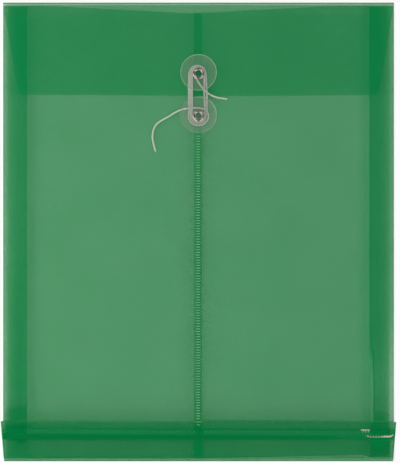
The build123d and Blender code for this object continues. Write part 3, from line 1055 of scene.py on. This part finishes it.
def eyelet(name, centre, sheet_low, sheet_top, body, node):
    """A turned ring: foot under the sheet, barrel for the string, collar and a half-elliptic crown."""
    seat = sheet_top + 3.05
    a = np.radians(np.linspace(0, 180, 19))
    middle, reach = (BORE + CROWN) / 2, (CROWN - BORE) / 2
    crown_r = middle + reach * np.cos(a)
    crown_z = seat + 0.1 + 0.42 * np.sin(a)
    low = sheet_low - 0.3
    top = sheet_top + 2.35
    collar = top - 0.25
    foot_r = [BORE, BORE, FLANGE - 0.1, FLANGE, FLANGE - 0.1]
    foot_z = [seat - 0.2, low, low, low + 0.15, sheet_low]
    barrel_r = [BARREL, BARREL, SHOULDER, SHOULDER, BARREL, BARREL, CROWN]
    barrel_z = [sheet_low, collar, collar, top, top, seat, seat]
    r = np.concatenate([foot_r, barrel_r, crown_r])
    z = np.concatenate([foot_z, barrel_z, crown_z])
    piece = turned(name, r, z, centre, EYELET_SEGMENTS)
    piece.data.materials.append(nickel)
    piece.data.materials.append(bore_finish)
    bore_wall = np.zeros(len(piece.data.polygons), np.int32)
    bore_wall[:EYELET_SEGMENTS] = 1
    piece.data.polygons.foreach_set("material_index", bore_wall)
    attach(piece, body)
    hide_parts(node)
    return piece


upper_eyelet = eyelet("nickel_eyelet_upper", UPPER_HOLE, 2.15, 2.45, "flap", "upper_eyelet")
lower_eyelet = eyelet("nickel_eyelet_lower", LOWER_HOLE, 1.2, 1.8, "front", "lower_eyelet")
print("eyelet faces", len(upper_eyelet.data.polygons), len(lower_eyelet.data.polygons))

# %% [markdown]
# ## The cotton
# Off-white cotton is matt. The grooves between its plies get a painted shade, the turns between the
# buttons are darker than the free ends, and loose fibres roughen each ply. The finish reads what was painted
# on the tube and adds fine noise along it.

# %% String finish
cotton, cotton_tree, cotton_shader = new_finish("cotton_string", Roughness=0.9, Specular_IOR_Level=0.15)
fibre = noise(cotton_tree, 0.35, 3.0, 0.65)
shade = (layer(cotton_tree, "groove") * 0.2 + fibre * 0.3 + layer(cotton_tree, "handled") * 0.48).clip()
shade.mix((0.58, 0.61, 0.515, 1.0), (0.31, 0.36, 0.285, 1.0)).into(cotton_shader, "Base Color")
cotton_relief = Wire.node(
    cotton_tree, "ShaderNodeBump", {}, {"Strength": 0.6, "Distance": 0.00012, "Height": fibre}
)
cotton_relief.into(cotton_shader, "Normal")
for piece in (long_string, short_string):
    piece.data.materials.append(cotton)
print("cotton nodes", len(cotton_tree.nodes))

# %% [markdown]
# ## Floor and light
# The envelope lies on a plain white table under even studio light. Four soft boxes stand round it on the
# diagonals, so nothing glares straight up into the camera. One more hangs above the camera and lights the
# eyelets' bores; it is kept out of reflections, and two white cards give the metal its glints. A small box
# close by brightens the left edge, and a pale sky fills in that is dimmer overhead. Round the envelope,
# what the camera or a shiny surface sees of the table is mostly plain white, with a trace of the shadow
# left in. Where the open flap comes to lie, the table keeps its own shading, so the flap stays green.

# %% Floor
WHITE = (1.0, 1.0, 1.0, 1.0)
FLOOR_REACH = 3000.0
FLOOR_Z = -0.05

floor_finish, floor_tree, floor_shader = new_finish("white_table", Roughness=0.9, Specular_IOR_Level=0.0)
floor_shader.inputs["Base Color"].default_value = WHITE
ray = Wire.node(floor_tree, "ShaderNodeLightPath")
seen = (ray.out("Is Camera Ray") + ray.out("Is Glossy Ray") + ray.out("Is Transmission Ray")).clip()
spot = Wire.node(floor_tree, "ShaderNodeSeparateXYZ", {}, {0: place(floor_tree)})
aside = spot.out("X").abs() * PER_METRE
past_side = aside - HALF
past_end = spot.out("Y").abs() * PER_METRE + BOTTOM
beside = (past_side.math("MAXIMUM", past_side, past_end) * 1.5).clip()
above = spot.out("Y") * PER_METRE
open_flap = ((165.0 - aside) * 0.03).clip()
open_flap = open_flap * ((above - 151.0) * 0.1).clip() * ((250.0 - above) * 0.03).clip()
beside = beside * (1 - open_flap)
white = Wire.node(floor_tree, "ShaderNodeEmission", {}, {"Color": WHITE, "Strength": 1.0})
shaded = Wire(floor_tree, floor_shader.outputs["BSDF"])
table = Wire.node(floor_tree, "ShaderNodeMixShader", {}, {0: seen * beside * 0.85, 1: shaded, 2: white})
table.into(next(n for n in floor_tree.nodes if n.type == "OUTPUT_MATERIAL"), "Surface")
line = np.linspace(-FLOOR_REACH, FLOOR_REACH, 2)
floor = surface("white_table", line[None, :], line[:, None], FLOOR_Z)
floor.data.materials.append(floor_finish)
print("floor nodes", len(floor_tree.nodes))

# %% Soft boxes and sky
STAND_OUT, STAND_HIGH = 0.85, 1.05


def diagonal(angle):
    """A place in metres on the ring of stands round the table, at an angle in degrees."""
    a = np.radians(angle)
    return np.cos(a) * STAND_OUT, np.sin(a) * STAND_OUT, STAND_HIGH


def soft_box(name, stand, size, power):
    """An area lamp at a place in metres that faces the middle of the envelope."""
    data = bpy.data.lights.new(name, "AREA")
    data.shape = "SQUARE"
    data.size = size
    data.energy = power
    box = bpy.data.objects.new(name, data)
    box.location = stand
    box.rotation_euler = (-Vector(stand)).to_track_quat("-Z", "Y").to_euler()
    scene.collection.objects.link(box)
    return box


for angle, power in ((45, 0.9), (135, 0.9), (225, 1.5), (315, 1.3)):
    soft_box(f"soft_box_{angle}", diagonal(angle), 0.4, power)
soft_box("soft_box_left", (-0.48, 0.0, 0.25), 0.2, 0.6)
overhead = soft_box("soft_box_overhead", (0.0, 0.0, 2.9), 0.5, 30.0)
overhead.visible_glossy = False
for angle, power in ((225, 5.0), (315, 4.0)):
    card = soft_box(f"glint_card_{angle}", diagonal(angle), 0.8, power)
    card.visible_diffuse = False

world = bpy.data.worlds.new("studio")
scene.world = world
world.use_nodes = True
sky = world.node_tree
sky_shader = next(n for n in sky.nodes if n.type == "BACKGROUND")
way = Wire.node(sky, "ShaderNodeTexCoord").out("Generated")
up = Wire.node(sky, "ShaderNodeSeparateXYZ", {}, {0: way}).out("Z")
up.clip().mix((0.75, 0.74, 0.73, 1.0), (0.12, 0.12, 0.12, 1.0)).into(sky_shader, "Color")
